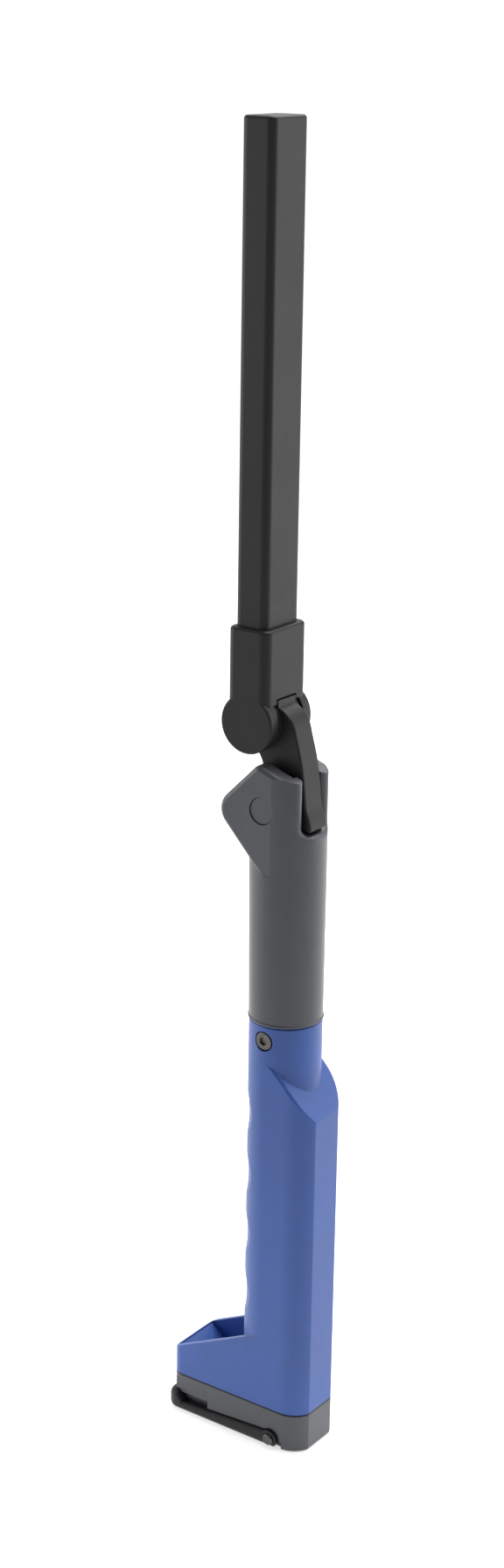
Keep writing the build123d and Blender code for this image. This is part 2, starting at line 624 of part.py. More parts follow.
def neck_fork():
    """Two flat cheeks that grow out of the round neck, with a soft rim where their slot runs out."""
    cheek_round = 2.0
    slot_round = 3.0
    knuckle_back = LOWER_PIVOT[0] + LOWER_KNUCKLE_R + MOVE_GAP
    flare = Pos(0, FLARE_Y) * Circle(FLARE_R)
    cheeks = side_slab(neck_outline(), CHEEK_HALF)
    flat_sides = cheeks.faces().sort_by(Axis.X)
    cheeks = fillet(flat_sides[0].edges() + flat_sides[-1].edges(), cheek_round)
    nose = Pos(0, -2 * GRIP_R) * Rectangle(4 * GRIP_R, 4 * GRIP_R)
    fork = raised(flare & Rectangle(2 * CHEEK_HALF, 4 * FLARE_R), FORK_Z, FORK_FLOOR_FRONT)
    fork += cheeks & raised(flare + nose, FORK_Z, 2 * FAR)
    fork -= box((-CHEEK_GAP, -FAR, FORK_FLOOR_FRONT), (CHEEK_GAP, knuckle_back, 2 * FAR))
    back = box((-STRAP_SLOT_HALF, knuckle_back - 1, FORK_FLOOR_BACK), (STRAP_SLOT_HALF, FAR, 2 * FAR))
    fork -= fillet(back.edges().filter_by(Axis.Y).group_by(Axis.Z)[0], slot_round)
    above_floor = fork.edges().filter_by(lambda e: e.center().Z > FORK_FLOOR_BACK - 0.5)
    rim = above_floor.filter_by(lambda e: e.center().Y > 11.4 and abs(e.center().X) < STRAP_SLOT_HALF + 0.2)
    return fillet(rim, FORK_RIM_R)


def spigot():
    """Round spigot with a part-round screw groove and a seat for the seal ring."""
    stem = disc_z(0, 0, SPIGOT_R, SPIGOT_BOTTOM, NECK_SEAM + 1)
    stem = chamfer(stem.edges().group_by(Axis.Z)[0], 0.8)
    reach = NECK_SCREW_TIP - 0.3
    half_h = NECK_SCREW_R + 0.3
    ring = disc_z(0, 0, FAR, SCREW_Z - half_h, SCREW_Z + half_h) - disc_z(0, 0, reach, 0, FAR)
    stop = box((-FAR, -2.4, 0), (-1, 2.4, FAR))
    stem -= ring - stop
    return stem - (Pos(0, 0, SEAL_Z) * Torus(SEAL_RING_R, SEAL_R))


def neck_seal_ring():
    """Friction ring between the spigot and the handle's bore."""
    return Pos(0, 0, SEAL_Z) * Torus(SEAL_RING_R, SEAL_R)


def pivot_cap(pivot, radius, thick):
    """Round press-in cover over the +X end of a fold pin, with a softened outer edge."""
    cap = disc_x(pivot, radius, PIVOT_SEAT, PIVOT_SEAT + thick)
    return fillet(cap.edges().group_by(Axis.X)[-1], 0.5)


def lower_pivot_caps():
    """Covers over both ends of the lower fold pin, set back in the cheeks."""
    cap = pivot_cap(LOWER_PIVOT, LOWER_CAP_R, LOWER_CAP_THICK)
    return [cap, mirror(cap, Plane.YZ)]


def fold_pin(pivot):
    """Fold pin with small end bevels."""
    pin = disc_x(pivot, PIN_R, -PIVOT_SEAT, PIVOT_SEAT)
    return chamfer(pin.edges().filter_by(GeomType.CIRCLE), 0.4)


def friction_washers(pivot):
    """Two washers between a fork's cheeks and the link."""
    washers = []
    for sign in (-1, 1):
        low, high = sorted((sign * (LINK_HALF + RUNNING), sign * CHEEK_GAP))
        washers.append(disc_x(pivot, WASHER_R, low, high) - disc_x(pivot, PIN_R, -FAR, FAR))
    return washers


# ---------------------------------------------------------------- link
def hinge_link():
    """Link with a knuckle at each end, a hollowed front and a strap down its back."""
    back = Spline(
        (-2.2, 297.6), (1.2, 295.7), (4.3, 292.0), (5.9, 287.0), (7.6, 281.0), (9.1, 273.7), (10.1, 265.4),
        (10.8, 260.6), (12.2, 256.8), (12.8, 252.9),
    )
    top = (-2.4, 300.1)
    foot = (8.4, 252.9)
    hollow = ThreePointArc((-11.0, 265.0), (-8.8, 276.0), (-12.5, 281.2))
    web = make_face([
        back,
        Line(back @ 1, foot),
        Line(foot, LOWER_PIVOT),
        Line(LOWER_PIVOT, hollow @ 0),
        hollow,
        Line(hollow @ 1, UPPER_PIVOT),
        Line(UPPER_PIVOT, top),
        Line(top, back @ 0),
    ])
    link = side_slab(web, STRAP_HALF)
    back_edges_of_strap = link.edges().filter_by(lambda e: e.center().Y > 5.0 and abs(e.center().X) > 0.1)
    link = fillet(back_edges_of_strap, STRAP_EDGE_R)
    for pivot, radius in ((LOWER_PIVOT, LOWER_KNUCKLE_R), (UPPER_PIVOT, UPPER_KNUCKLE_R)):
        link += disc_x(pivot, radius, -LINK_HALF, LINK_HALF)
        link -= disc_x(pivot, PIN_R + RUNNING, -FAR, FAR)
    return link


# ---------------------------------------------------------------- head
def head_socket():
    """Socket that grips the bar above and forks over the link below."""
    pivot_y, pivot_z = UPPER_PIVOT
    plan = soft_bar(SOCKET_HALF, SOCKET_FRONT, SOCKET_BACK, SOCKET_CORNER_R)
    body = raised(plan, pivot_z, SOCKET_TOP)
    body = fillet(body.edges().group_by(Axis.Z)[-1], 1.4)
    body += disc_x(UPPER_PIVOT, SOCKET_DISC_R, -SOCKET_HALF, SOCKET_HALF)
    disc_edges = body.edges().filter_by(lambda e: e.center().Z < pivot_z - 5)
    body = fillet(disc_edges.filter_by(lambda e: abs(e.center().X) > SOCKET_HALF - 0.1), 0.7)
    clearance_r = SOCKET_DISC_R + 0.2
    body -= disc_x(UPPER_PIVOT, clearance_r, -CHEEK_GAP, CHEEK_GAP)
    body -= box((-CHEEK_GAP, -FAR, pivot_z - 20), (CHEEK_GAP, FAR, pivot_z))
    slot_top = 300.7
    body -= box((-STRAP_SLOT_HALF, pivot_y + 2, pivot_z - 2), (STRAP_SLOT_HALF, 5, slot_top))
    body -= raised(bar_plan(), BAR_BOTTOM, FAR * 3)
    body -= box((-3, pivot_y - 2, 298), (3, pivot_y + 2, 310))
    for z in HEAD_SCREW_Z:
        body -= at((0, SOCKET_FRONT, z), (0, -1, 0)) * Cylinder(HEAD_SCREW_R + 0.1, 6.0)
        body -= at((0, SOCKET_FRONT, z), (0, -1, 0)) * Cylinder(HEAD_SCREW_HEAD_R + 0.2, 2 * HEAD_SCREW_SINK)
    body -= disc_x(UPPER_PIVOT, PIN_R, -FAR, PIVOT_SEAT)
    return body - disc_x(UPPER_PIVOT, UPPER_CAP_R, -FAR, -PIVOT_SEAT)


def bar_plan():
    """Lamp bar seen from above."""
    return soft_bar(BAR_HALF, BAR_FRONT, BAR_BACK, BAR_CORNER_R)


def bar_hollow():
    """Space inside the bar seen from above."""
    return soft_bar(BAR_HALF - BAR_WALL, BAR_FRONT + BAR_WALL, BAR_BACK - BAR_WALL, 0.5)


def head_housing():
    """Black bar, hollow, with a long window in its front."""
    bar = raised(bar_plan(), BAR_BOTTOM, BAR_TOP)
    bar = fillet(bar.edges().group_by(Axis.Z)[-1], 1.2)
    bar -= raised(bar_hollow(), 0, BAR_TOP - 2.0)
    bar -= window_plate(0, BAR_FRONT - 2 * BAR_WALL, BAR_FRONT + 2 * BAR_WALL, 2.0)
    for z in HEAD_SCREW_Z:
        bar -= at((0, BAR_FRONT, z), (0, -1, 0)) * Cylinder(HEAD_SCREW_R + 0.1, 2 * BAR_WALL + 0.2)
    return bar


def window_plate(inset, front, back, radius):
    """Upright plate inside the window, in from its edge by an inset."""
    height = WINDOW_TOP - WINDOW_BOTTOM - 2 * inset
    plate = Pos(0, (WINDOW_BOTTOM + WINDOW_TOP) / 2) * Rectangle(2 * (WINDOW_HALF - inset), height)
    plate = fillet(plate.vertices(), radius)
    return Pos(0, back, 0) * extrude(Plane.XZ * plate, back - front)


def led_lens():
    """Frosted window, with a rim behind the bar's front wall."""
    face = window_plate(0.1, LENS_FACE, LENS_RIM_BACK, 1.9)
    rim_front = BAR_FRONT + BAR_WALL
    rim_half = BAR_HALF - BAR_WALL - 0.5
    rim = box((-rim_half, rim_front, WINDOW_BOTTOM - 1.6), (rim_half, LENS_RIM_BACK, WINDOW_TOP + 1.6))
    hollow = window_plate(1.4, LENS_BACK, LENS_RIM_BACK + 1, 1.0)
    return face + rim - hollow


def lens_gasket():
    """Flat seal between the lens rim and the board's frame."""
    outer = box((-8.4, LENS_RIM_BACK, WINDOW_BOTTOM - 1.4), (8.4, GASKET_BACK, WINDOW_TOP + 1.4))
    inner = box((-6.8, LENS_RIM_BACK - 1, WINDOW_BOTTOM + 1.4), (6.8, GASKET_BACK + 1, WINDOW_TOP - 1.4))
    return outer - inner


def led_board():
    """Long circuit board that carries the light sources."""
    board = box((-8.0, LED_BOARD_FRONT, WINDOW_BOTTOM - 1.0), (8.0, LED_BOARD_BACK, WINDOW_TOP + 1.0))
    return fillet(board.edges().filter_by(Axis.Y), 0.8)


def led_emitters():
    """Row of square light sources along the board."""
    half = LED_HALF
    pitch = (WINDOW_TOP - WINDOW_BOTTOM - 2 * LED_MARGIN) / (LED_COUNT - 1)
    emitters = []
    for index in range(LED_COUNT):
        z = WINDOW_BOTTOM + LED_MARGIN + index * pitch
        chip = box((-half, LED_BOARD_FRONT - 0.9, z - half), (half, LED_BOARD_FRONT, z + half))
        emitters.append(chamfer(chip.edges().filter_by(Axis.Y), 0.4))
    return emitters


def heat_sink():
    """Aluminium channel behind the board, pressed against the bar's back."""
    back = BAR_BACK - BAR_WALL
    plate = box((-8.6, LED_BOARD_BACK, WINDOW_BOTTOM - 1.0), (8.6, LED_BOARD_BACK + 1.6, WINDOW_TOP + 1.0))
    for x in SINK_FINS:
        plate += box((x - 0.6, LED_BOARD_BACK + 1.0, WINDOW_BOTTOM - 1.0), (x + 0.6, back, WINDOW_TOP + 1.0))
    return plate


def head_plug():
    """Block inside the bar's lower end that the socket's screws bite into."""
    block = raised(bar_hollow(), BAR_BOTTOM, WINDOW_BOTTOM - 8.0)
    block -= box((-3.5, UPPER_PIVOT[0] + 1.0, 0), (3.5, UPPER_PIVOT[0] + 4.0, 2 * FAR))
    for z in HEAD_SCREW_Z:
        block -= at((0, BAR_FRONT, z), (0, -1, 0)) * Cylinder(HEAD_SCREW_R, 2 * 8.0)
    return block


def head_screws():
    """Two screws through the socket's front into the plug."""
    head_h = 1.4
    pattern = screw(HEAD_SCREW_HEAD_R, head_h, HEAD_SCREW_R, 8.0, 1.2)
    front = SOCKET_FRONT + HEAD_SCREW_SINK - head_h
    return [at((0, front, z), (0, -1, 0)) * pattern for z in HEAD_SCREW_Z]


def upper_pivot_cap():
    """Cover over the upper fold pin's open end, on the -X side."""
    return mirror(pivot_cap(UPPER_PIVOT, UPPER_CAP_R, UPPER_CAP_THICK), Plane.YZ)


# ---------------------------------------------------------------- write the parts
spring_contact, top_contact = battery_contacts()

NODES = {
    "handle_housing": handle_housing(),
    "base_cap": base_cap(),
    "base_magnets": base_magnets(),
    "magnet_keeper": magnet_keeper(),
    "base_screws": base_screws(),
    "hook_pins": hook_pins(),
    "hanging_hook": hanging_hook(),
    "inner_chassis": inner_chassis(),
    "battery_cell": battery_cell(),
    "battery_spring_contact": spring_contact,
    "battery_top_contact": top_contact,
    "charge_board": charge_board(),
    "charge_socket": charge_socket(),
    "port_cover": port_cover(),
    "driver_board": driver_board(),
    "tact_switch": tact_switch(),
    "power_button": power_button(),
    "neck_screw": neck_screw(),
    "neck_housing": neck_housing(),
    "neck_seal_ring": neck_seal_ring(),
    "lower_pivot_pin": fold_pin(LOWER_PIVOT),
    "lower_pivot_caps": lower_pivot_caps(),
    "lower_friction_washers": friction_washers(LOWER_PIVOT),
    "hinge_link": hinge_link(),
    "upper_pivot_pin": fold_pin(UPPER_PIVOT),
    "upper_pivot_cap": upper_pivot_cap(),
    "upper_friction_washers": friction_washers(UPPER_PIVOT),
    "head_socket": head_socket(),
    "head_housing": head_housing(),
    "head_plug": head_plug(),
    "head_screws": head_screws(),
    "heat_sink": heat_sink(),
    "led_board": led_board(),
    "led_emitters": led_emitters(),
    "lens_gasket": lens_gasket(),
    "led_lens": led_lens(),
}

for name, shape in NODES.items():
    pieces = shape if isinstance(shape, list) else [shape]
    solids = [solid for piece in pieces for solid in piece.solids()]
    export_step(Compound(children=solids), f"parts/{name}.step")
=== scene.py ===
import json
import math

import bmesh
import bpy
from mathutils import Matrix, Vector


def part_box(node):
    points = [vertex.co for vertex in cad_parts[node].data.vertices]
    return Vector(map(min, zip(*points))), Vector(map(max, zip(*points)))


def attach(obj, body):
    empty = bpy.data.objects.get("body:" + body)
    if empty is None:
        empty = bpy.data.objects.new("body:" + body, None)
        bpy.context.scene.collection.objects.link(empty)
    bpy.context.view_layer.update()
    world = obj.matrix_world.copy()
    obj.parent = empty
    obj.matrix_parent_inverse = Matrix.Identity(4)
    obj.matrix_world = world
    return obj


# Looks of a folding inspection lamp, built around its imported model. Metres, +Z up, -Y to the toe.
MM = 0.001

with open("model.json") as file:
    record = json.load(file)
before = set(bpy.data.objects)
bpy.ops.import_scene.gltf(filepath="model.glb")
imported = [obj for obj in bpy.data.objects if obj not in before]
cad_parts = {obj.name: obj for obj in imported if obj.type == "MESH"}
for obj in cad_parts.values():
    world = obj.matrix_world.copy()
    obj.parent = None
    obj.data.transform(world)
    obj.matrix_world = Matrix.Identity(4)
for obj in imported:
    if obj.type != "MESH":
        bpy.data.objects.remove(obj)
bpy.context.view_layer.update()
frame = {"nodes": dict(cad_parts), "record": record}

# ---------------------------------------------------------------- view
CAMERA_PLACE = Vector((704.0, 485.8, 543.1)) * MM
CAMERA_HEADING = math.radians(35.547)   # where the camera stands, from +X towards +Y
CAMERA_PITCH = math.radians(17.85)      # how far it looks down
CAMERA_ROLL = math.radians(0.873)
SENSOR_MM = 36.0
LENS_MM = 56.67
CLIP_NEAR = 0.05
CLIP_FAR = 50.0

# ---------------------------------------------------------------- bead round the neck's lower edge
NECK_RIM_R = 14.0 * MM          # neck's radius at its lower edge
BEAD_R = 0.62 * MM              # radius of the bead's round section
BEAD_PROUD = 0.34 * MM          # how far the bead stands out from the neck
BEAD_LIFT = 0.12 * MM           # gap between the bead and the grip's upper end
BEAD_POINTS = 20                # points round the section
BEAD_STEPS = 144                # steps round the neck

# ---------------------------------------------------------------- grain, in repeats per metre
FLOW_SCALE = 35.0               # flow marks of moulded plastic
GRAIN_SCALE = 2400.0            # spark-eroded grain of the mould
SCUFF_SCALE = 420.0             # rubbed patches along edges
DUST_SCALE = 160.0              # bloom on rubber
RUBBER_SCALE = 3200.0           # rubber's own grain
MARK_SCALE = 900.0              # turning and drawing marks on metal
STAIN_SCALE = 300.0             # dull patches on metal
WEAVE_SCALE = 1800.0            # glass weave of a board
TRACK_SCALE = 260.0             # tracks under the solder mask
TRACK_GAP = 0.03                # share of a track's pitch that is gap
PHOSPHOR_SCALE = 5000.0         # grains of the phosphor
FROST_SCALE = 3600.0            # frosting of the light window
HAZE_SCALE = 60.0               # faint clouds in the light window

# ---------------------------------------------------------------- parts of a noise's range
WHOLE = (0.0, 1.0)
BROAD = (0.3, 0.7)
MIDDLE = (0.35, 0.65)
UPPER = (0.4, 0.7)
DUSTY = (0.35, 0.7)
SCUFFED = (0.42, 0.62)

# ---------------------------------------------------------------- edges
BEVEL_SAMPLES = 6
FLAT_TO_EDGE = (0.995, 0.80)    # cosine between rounded and true normal, on flats and on edges
PLASTIC_EDGE = 0.55 * MM        # width of the rubbed edges
RUBBER_EDGE = 0.4 * MM
HARD_EDGE = 0.3 * MM

# ---------------------------------------------------------------- studio
FLOOR_R = 30.0
FLOOR_GREY = 0.80
FLOOR_SIDES = 96
# Painted light on the floor: its emission puts a pool of light round the foot and a glow behind the
# object and far away, standing in for lamp light.
BEHIND_SPAN = (-0.10, 0.55)     # metres behind the object over which the floor's painted light gets brighter
BEHIND_GLOW = 0.75
PAINTED_POOL_SPAN = (0.10, 0.55)        # metres from the axis over which the painted pool of light round the foot fades
PAINTED_POOL_GLOW = 0.55
FAR_SPAN = (1.2, 3.5)           # metres from the axis over which the distant floor gets brighter
SURROUND_SPAN = (-0.1, 0.9)     # cosine to the direction behind the object
SURROUND_LIGHT = (0.11, 1.1)    # strength on the camera's side and behind the object
AIM_LOW = 0.1                   # heights that the lights are aimed at
AIM_MIDDLE = 0.26


# ---------------------------------------------------------------- node helpers
def noise(tree, coordinates, scale, detail=2.0, roughness=0.5):
    """Noise texture over the piece's own coordinates."""
    node = tree.nodes.new("ShaderNodeTexNoise")
    node.inputs["Scale"].default_value = scale
    node.inputs["Detail"].default_value = detail
    node.inputs["Roughness"].default_value = roughness
    tree.links.new(coordinates, node.inputs["Vector"])
    return node.outputs["Fac"]


def remap(tree, value, span, to):
    """Value moved from one range to another, held at its ends."""
    node = tree.nodes.new("ShaderNodeMapRange")
    for name, number in zip(("From Min", "From Max", "To Min", "To Max"), (*span, *to)):
        node.inputs[name].default_value = number
    tree.links.new(value, node.inputs["Value"])
    return node.outputs["Result"]


def mix_colours(tree, factor, first, second):
    """Mix of two colours, each a colour or an output."""
    node = tree.nodes.new("ShaderNodeMix")
    node.data_type = "RGBA"
    tree.links.new(factor, node.inputs["Factor"])
    for name, colour in (("A", first), ("B", second)):
        entry = [i for i in node.inputs if i.name == name and i.type == "RGBA"][0]
        if isinstance(colour, bpy.types.NodeSocket):
            tree.links.new(colour, entry)
        else:
            entry.default_value = (*colour, 1.0)
    return [o for o in node.outputs if o.type == "RGBA"][0]


def math_node(tree, operation, first, second):
    """One math step on an output and a number or output."""
    node = tree.nodes.new("ShaderNodeMath")
    node.operation = operation
    tree.links.new(first, node.inputs[0])
    if isinstance(second, bpy.types.NodeSocket):
        tree.links.new(second, node.inputs[1])
    else:
        node.inputs[1].default_value = second
    return node.outputs[0]


def dot_product(tree, vector, direction):
    """How far a vector goes along a fixed direction."""
    node = tree.nodes.new("ShaderNodeVectorMath")
    node.operation = "DOT_PRODUCT"
    node.inputs[1].default_value = direction
    tree.links.new(vector, node.inputs[0])
    return node.outputs["Value"]


def rounded_normal(tree, radius):
    """Surface normal as if the edges had this radius."""
    bevel = tree.nodes.new("ShaderNodeBevel")
    bevel.samples = BEVEL_SAMPLES
    bevel.inputs["Radius"].default_value = radius
    return bevel.outputs["Normal"]


def edge_mask(tree, radius):
    """1 along the piece's edges, and 0 on its flats."""
    geometry = tree.nodes.new("ShaderNodeNewGeometry")
    dot = tree.nodes.new("ShaderNodeVectorMath")
    dot.operation = "DOT_PRODUCT"
    tree.links.new(rounded_normal(tree, radius), dot.inputs[0])
    tree.links.new(geometry.outputs["Normal"], dot.inputs[1])
    return remap(tree, dot.outputs["Value"], FLAT_TO_EDGE, WHOLE)


def new_material(name):
    """Empty node material, with its shader and its own coordinates."""
    material = bpy.data.materials.new(name)
    material.use_nodes = True
    tree = material.node_tree
    tree.nodes.clear()
    shader = tree.nodes.new("ShaderNodeBsdfPrincipled")
    output = tree.nodes.new("ShaderNodeOutputMaterial")
    tree.links.new(shader.outputs["BSDF"], output.inputs["Surface"])
    coordinates = tree.nodes.new("ShaderNodeTexCoord").outputs["Object"]
    return material, tree, shader, coordinates


def bump(tree, shader, height, depth, strength, rounding):
    """Bump on the shader's normal, over edges rounded by the given radius, both in mm."""
    node = tree.nodes.new("ShaderNodeBump")
    node.inputs["Strength"].default_value = strength
    node.inputs["Distance"].default_value = depth * MM
    tree.links.new(height, node.inputs["Height"])
    tree.links.new(rounded_normal(tree, rounding * MM), node.inputs["Normal"])
    tree.links.new(node.outputs["Normal"], shader.inputs["Normal"])


def shaded(colour, factor):
    """Colour made darker or lighter by a factor."""
    return tuple(min(1.0, c * factor) for c in colour)


# ---------------------------------------------------------------- materials
def moulded(name, colour, worn, roughness, specular, depth=0.02, rounding=0.4):
    """Moulded plastic: fine grain, faint flow marks, and edges rubbed lighter and smoother."""
    material, tree, shader, place = new_material(name)
    flow = noise(tree, place, FLOW_SCALE, detail=4.0, roughness=0.6)
    fine = noise(tree, place, GRAIN_SCALE, detail=3.0, roughness=0.65)
    scuffs = noise(tree, place, SCUFF_SCALE, detail=5.0, roughness=0.7)
    rubbed = remap(tree, scuffs, SCUFFED, to=(0.15, 0.75))
    wear = math_node(tree, "MULTIPLY", edge_mask(tree, PLASTIC_EDGE), rubbed)
    streaks = remap(tree, flow, MIDDLE, WHOLE)
    base = mix_colours(tree, streaks, shaded(colour, 0.93), shaded(colour, 1.06))
    tree.links.new(mix_colours(tree, wear, base, worn), shader.inputs["Base Color"])
    rough = remap(tree, fine, BROAD, to=(roughness - 0.04, roughness + 0.05))
    smudged = math_node(tree, "ADD", rough, remap(tree, flow, UPPER, to=(-0.025, 0.03)))
    polish = math_node(tree, "MULTIPLY", wear, 0.10)
    tree.links.new(math_node(tree, "SUBTRACT", smudged, polish), shader.inputs["Roughness"])
    shader.inputs["Specular IOR Level"].default_value = specular
    bump(tree, shader, fine, depth=depth, strength=0.55, rounding=rounding)
    return material


def rubber(name, colour, worn):
    """Soft matte rubber with a dusty bloom."""
    material, tree, shader, place = new_material(name)
    dust = noise(tree, place, DUST_SCALE, detail=6.0, roughness=0.7)
    fine = noise(tree, place, RUBBER_SCALE)
    base = mix_colours(tree, remap(tree, dust, DUSTY, WHOLE), colour, shaded(colour, 1.5))
    rubbed = math_node(tree, "MULTIPLY", edge_mask(tree, RUBBER_EDGE), 0.5)
    tree.links.new(mix_colours(tree, rubbed, base, worn), shader.inputs["Base Color"])
    tree.links.new(remap(tree, dust, BROAD, to=(0.72, 0.86)), shader.inputs["Roughness"])
    shader.inputs["Specular IOR Level"].default_value = 0.35
    bump(tree, shader, fine, depth=0.015, strength=0.5, rounding=0.25)
    return material


def metal(name, colour, roughness, stretch, worn):
    """Metal with turning or drawing marks along one axis and brighter edges."""
    material, tree, shader, place = new_material(name)
    mapping = tree.nodes.new("ShaderNodeMapping")
    mapping.inputs["Scale"].default_value = stretch
    tree.links.new(place, mapping.inputs["Vector"])
    marks = noise(tree, mapping.outputs["Vector"], MARK_SCALE, detail=3.0, roughness=0.6)
    stains = noise(tree, place, STAIN_SCALE, detail=4.0, roughness=0.6)
    base = mix_colours(tree, remap(tree, stains, MIDDLE, WHOLE), shaded(colour, 0.86), colour)
    rubbed = math_node(tree, "MULTIPLY", edge_mask(tree, HARD_EDGE), 0.7)
    tree.links.new(mix_colours(tree, rubbed, base, worn), shader.inputs["Base Color"])
    rough = remap(tree, marks, BROAD, to=(roughness - 0.07, roughness + 0.08))
    tree.links.new(rough, shader.inputs["Roughness"])
    shader.inputs["Metallic"].default_value = 1.0
    bump(tree, shader, marks, depth=0.006, strength=0.5, rounding=0.12)
    return material


def circuit_board(name, colour, copper):
    """Board under solder mask, with faint tracks beneath."""
    material, tree, shader, place = new_material(name)
    weave = noise(tree, place, WEAVE_SCALE)
    tracks = tree.nodes.new("ShaderNodeTexBrick")
    tracks.inputs["Scale"].default_value = TRACK_SCALE
    tracks.inputs["Mortar Size"].default_value = TRACK_GAP
    tree.links.new(place, tracks.inputs["Vector"])
    faint = remap(tree, tracks.outputs["Fac"], WHOLE, to=(0.0, 0.35))
    tree.links.new(mix_colours(tree, faint, colour, copper), shader.inputs["Base Color"])
    tree.links.new(remap(tree, weave, BROAD, to=(0.30, 0.42)), shader.inputs["Roughness"])
    shader.inputs["Coat Weight"].default_value = 0.3
    bump(tree, shader, weave, depth=0.01, strength=0.4, rounding=0.1)
    return material


def emitter(name, dark, light):
    """Yellow phosphor of a light source that is switched off."""
    material, tree, shader, place = new_material(name)
    grains = noise(tree, place, PHOSPHOR_SCALE)
    base = mix_colours(tree, remap(tree, grains, BROAD, WHOLE), dark, light)
    tree.links.new(base, shader.inputs["Base Color"])
    tree.links.new(remap(tree, grains, BROAD, to=(0.25, 0.40)), shader.inputs["Roughness"])
    bump(tree, shader, grains, depth=0.01, strength=0.4, rounding=0.1)
    return material


def frosted(name, dark, light, worn):
    """Frosted light window that shows the light sources as soft blurs."""
    material, tree, shader, place = new_material(name)
    frost = noise(tree, place, FROST_SCALE, detail=3.0, roughness=0.6)
    haze = noise(tree, place, HAZE_SCALE, detail=3.0)
    base = mix_colours(tree, remap(tree, haze, BROAD, WHOLE), dark, light)
    edge = edge_mask(tree, HARD_EDGE)
    tree.links.new(mix_colours(tree, edge, base, worn), shader.inputs["Base Color"])
    tree.links.new(remap(tree, frost, BROAD, to=(0.34, 0.46)), shader.inputs["Roughness"])
    shader.inputs["Transmission Weight"].default_value = 0.55
    shader.inputs["IOR"].default_value = 1.49
    bump(tree, shader, frost, depth=0.012, strength=0.4, rounding=0.2)
    return material


# Each slot's finish: its kind, its colours and settings, and what differs from the kind's own.
ALL_WAYS = (1, 1, 1)
FINISHES = {
    "blue_plastic": (moulded, (0.036, 0.092, 0.332), (0.080, 0.155, 0.43), 0.42, 0.38),
    "grey_plastic": (moulded, (0.062, 0.065, 0.074), (0.13, 0.135, 0.15), 0.37, 0.45),
    "black_plastic": (moulded, (0.0160, 0.0160, 0.0175), (0.040, 0.040, 0.044), 0.40, 0.22),
    "white_plastic": (moulded, (0.70, 0.70, 0.67), (0.78, 0.78, 0.76), 0.45, 0.5),
    "black_rubber": (rubber, (0.016, 0.016, 0.017), (0.045, 0.045, 0.047)),
    "cell_wrap": (moulded, (0.06, 0.24, 0.17), (0.10, 0.30, 0.22), 0.28, 0.5),
    "dark_steel": (metal, (0.12, 0.115, 0.11), 0.38, ALL_WAYS, (0.34, 0.33, 0.32)),
    "black_steel": (metal, (0.10, 0.10, 0.105), 0.30, ALL_WAYS, (0.45, 0.45, 0.46)),
    "zinc_steel": (metal, (0.55, 0.55, 0.57), 0.32, (6, 1, 1), (0.70, 0.70, 0.72)),
    "magnet_steel": (metal, (0.60, 0.60, 0.62), 0.18, ALL_WAYS, (0.72, 0.72, 0.74)),
    "nickel": (metal, (0.62, 0.60, 0.55), 0.25, (1, 1, 6), (0.75, 0.73, 0.68)),
    "heat_sink_metal": (metal, (0.68, 0.69, 0.71), 0.36, (1, 1, 0.05), (0.80, 0.81, 0.83)),
    "board_green": (circuit_board, (0.015, 0.16, 0.055), (0.06, 0.27, 0.10)),
    "board_white": (circuit_board, (0.78, 0.78, 0.76), (0.66, 0.66, 0.62)),
    "emitter_yellow": (emitter, (0.78, 0.60, 0.10), (0.90, 0.76, 0.22)),
    "frosted_lens": (frosted, (0.80, 0.83, 0.86), (0.87, 0.89, 0.91), (0.95, 0.96, 0.97)),
}
OWN_SETTINGS = {
    "white_plastic": {"rounding": 0.2},
    "cell_wrap": {"depth": 0.005},
}


def paint_nodes():
    """Gives every CAD node the finish of its material slot."""
    painted = {}
    for row in frame["record"]["subparts"]:
        slot = row["material_slot"]
        if slot not in painted:
            make, *settings = FINISHES[slot]
            painted[slot] = make(f"finish_{slot}", *settings, **OWN_SETTINGS.get(slot, {}))
        node = frame["nodes"][row["node"]]
        for place in node.material_slots:
            place.material = painted[slot]
    return painted


finishes = paint_nodes()


# ---------------------------------------------------------------- pieces
def revolved(name, outline, steps):
    """Ring about the Z axis from a closed outline of (radius, height) points."""
    shape = bmesh.new()
    rings = []
    for step in range(steps):
        turn = 2 * math.pi * step / steps
        rings.append([shape.verts.new((r * math.cos(turn), r * math.sin(turn), z)) for r, z in outline])
    count = len(outline)
    for step in range(steps):
        near, far = rings[step], rings[(step + 1) % steps]
        for i in range(count):
            j = (i + 1) % count
            shape.faces.new((near[i], far[i], far[j], near[j]))
    bmesh.ops.recalc_face_normals(shape, faces=shape.faces)
    mesh = bpy.data.meshes.new(name)
    shape.to_mesh(mesh)
    shape.free()
    mesh.polygons.foreach_set("use_smooth", [True] * len(mesh.polygons))
    piece = bpy.data.objects.new(name, mesh)
    bpy.context.scene.collection.objects.link(piece)
    return piece


def neck_rim_bead():
    """Small moulded bead round the lower edge of the swivel neck."""
    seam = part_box("handle_housing")[1][2]
    centre_r = NECK_RIM_R + BEAD_PROUD - BEAD_R
    centre_z = seam + BEAD_LIFT + BEAD_R
    outline = []
    for step in range(BEAD_POINTS):
        turn = 2 * math.pi * step / BEAD_POINTS
        outline.append((centre_r + BEAD_R * math.cos(turn), centre_z + BEAD_R * math.sin(turn)))
    bead = revolved("neck_rim_bead", outline, BEAD_STEPS)
    bead.data.materials.append(finishes["grey_plastic"])
    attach(bead, "neck")


neck_rim_bead()


# ---------------------------------------------------------------- studio
def towards_camera():
    """Level direction from the object to the camera."""
    return Vector((math.cos(CAMERA_HEADING), math.sin(CAMERA_HEADING), 0.0))


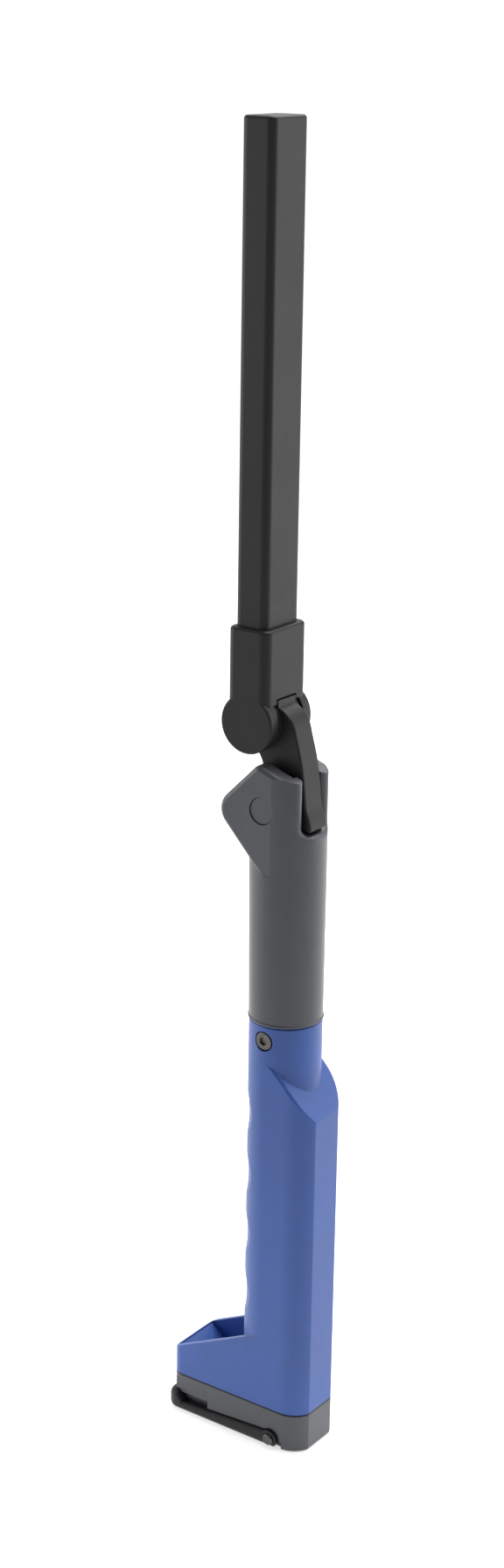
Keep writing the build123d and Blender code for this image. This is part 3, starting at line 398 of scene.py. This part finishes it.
def make_floor():
    """Round pale floor with painted light: an emission pool of light round the foot that washes out its
    contact shadow, a glow behind the object and a glow far away.
    """
    mesh = bpy.data.meshes.new("studio_floor")
    shape = bmesh.new()
    bmesh.ops.create_circle(shape, cap_ends=True, segments=FLOOR_SIDES, radius=FLOOR_R)
    shape.to_mesh(mesh)
    shape.free()
    floor = bpy.data.objects.new("studio_floor", mesh)
    bpy.context.scene.collection.objects.link(floor)
    material, tree, shader, place = new_material("finish_floor")
    shader.inputs["Base Color"].default_value = (FLOOR_GREY, FLOOR_GREY, FLOOR_GREY, 1.0)
    shader.inputs["Roughness"].default_value = 0.85
    shader.inputs["Specular IOR Level"].default_value = 0.1
    shader.inputs["Emission Color"].default_value = (1.0, 1.0, 1.0, 1.0)
    # painted light: emission makes the floor glow behind the object, round the foot and far away
    along = dot_product(tree, place, -towards_camera())
    behind = remap(tree, along, BEHIND_SPAN, to=(0.0, BEHIND_GLOW))
    reach = tree.nodes.new("ShaderNodeVectorMath")
    reach.operation = "LENGTH"
    tree.links.new(place, reach.inputs[0])
    painted_pool = remap(tree, reach.outputs["Value"], PAINTED_POOL_SPAN, to=(PAINTED_POOL_GLOW, 0.0))
    distant = remap(tree, reach.outputs["Value"], FAR_SPAN, to=(0.0, BEHIND_GLOW))
    glow = math_node(tree, "ADD", math_node(tree, "MAXIMUM", behind, distant), painted_pool)
    tree.links.new(glow, shader.inputs["Emission Strength"])
    mesh.materials.append(material)


def make_world():
    """Studio surround, bright behind the object and dim on the camera's side."""
    world = bpy.data.worlds.new("studio")
    bpy.context.scene.world = world
    world.use_nodes = True
    tree = world.node_tree
    tree.nodes.clear()
    output = tree.nodes.new("ShaderNodeOutputWorld")
    background = tree.nodes.new("ShaderNodeBackground")
    tree.links.new(background.outputs["Background"], output.inputs["Surface"])
    direction = tree.nodes.new("ShaderNodeTexCoord").outputs["Generated"]
    background.inputs["Color"].default_value = (1.0, 1.0, 1.0, 1.0)
    along = dot_product(tree, direction, -towards_camera())
    strength = remap(tree, along, SURROUND_SPAN, SURROUND_LIGHT)
    tree.links.new(strength, background.inputs["Strength"])


def soft_box(name, angle, distance, height, side, power, aim):
    """Square area light at an angle from the camera's heading, aimed at a height on the axis."""
    lamp = bpy.data.lights.new(name, "AREA")
    lamp.shape = "RECTANGLE"
    lamp.size = side
    lamp.size_y = side
    lamp.energy = power
    holder = bpy.data.objects.new(name, lamp)
    bpy.context.scene.collection.objects.link(holder)
    turn = CAMERA_HEADING + math.radians(angle)
    place = Vector((math.cos(turn) * distance, math.sin(turn) * distance, height))
    ray = Vector((0.0, 0.0, aim)) - place
    holder.location = place
    holder.rotation_euler = ray.to_track_quat("-Z", "Y").to_euler()
    holder.visible_camera = False


def make_lights():
    """Two side softboxes and a top light."""
    soft_box("light_right", angle=100.0, distance=1.3, height=0.45, side=0.9, power=5.0, aim=AIM_LOW)
    soft_box("light_left", angle=-95.0, distance=1.4, height=0.45, side=0.9, power=8.0, aim=AIM_LOW)
    soft_box("light_top", angle=125.0, distance=0.5, height=1.6, side=1.4, power=34.0, aim=AIM_MIDDLE)


def make_camera():
    """Camera at the reference view's place and angle."""
    data = bpy.data.cameras.new("reference_view")
    data.sensor_fit = "AUTO"
    data.sensor_width = SENSOR_MM
    data.lens = LENS_MM
    data.clip_start = CLIP_NEAR
    data.clip_end = CLIP_FAR
    camera = bpy.data.objects.new("reference_view", data)
    bpy.context.scene.collection.objects.link(camera)
    level = -towards_camera()
    right = Vector((-math.sin(CAMERA_HEADING), math.cos(CAMERA_HEADING), 0.0))
    ahead = level * math.cos(CAMERA_PITCH) - Vector((0.0, 0.0, math.sin(CAMERA_PITCH)))
    above = right.cross(ahead)
    turned_right = right * math.cos(CAMERA_ROLL) + above * math.sin(CAMERA_ROLL)
    turned_above = above * math.cos(CAMERA_ROLL) - right * math.sin(CAMERA_ROLL)
    axes = Matrix((turned_right, turned_above, -ahead)).transposed()
    camera.matrix_world = Matrix.Translation(CAMERA_PLACE) @ axes.to_4x4()
    bpy.context.scene.camera = camera


make_floor()
make_world()
make_lights()
make_camera()
bpy.context.scene.view_settings.view_transform = "Standard"
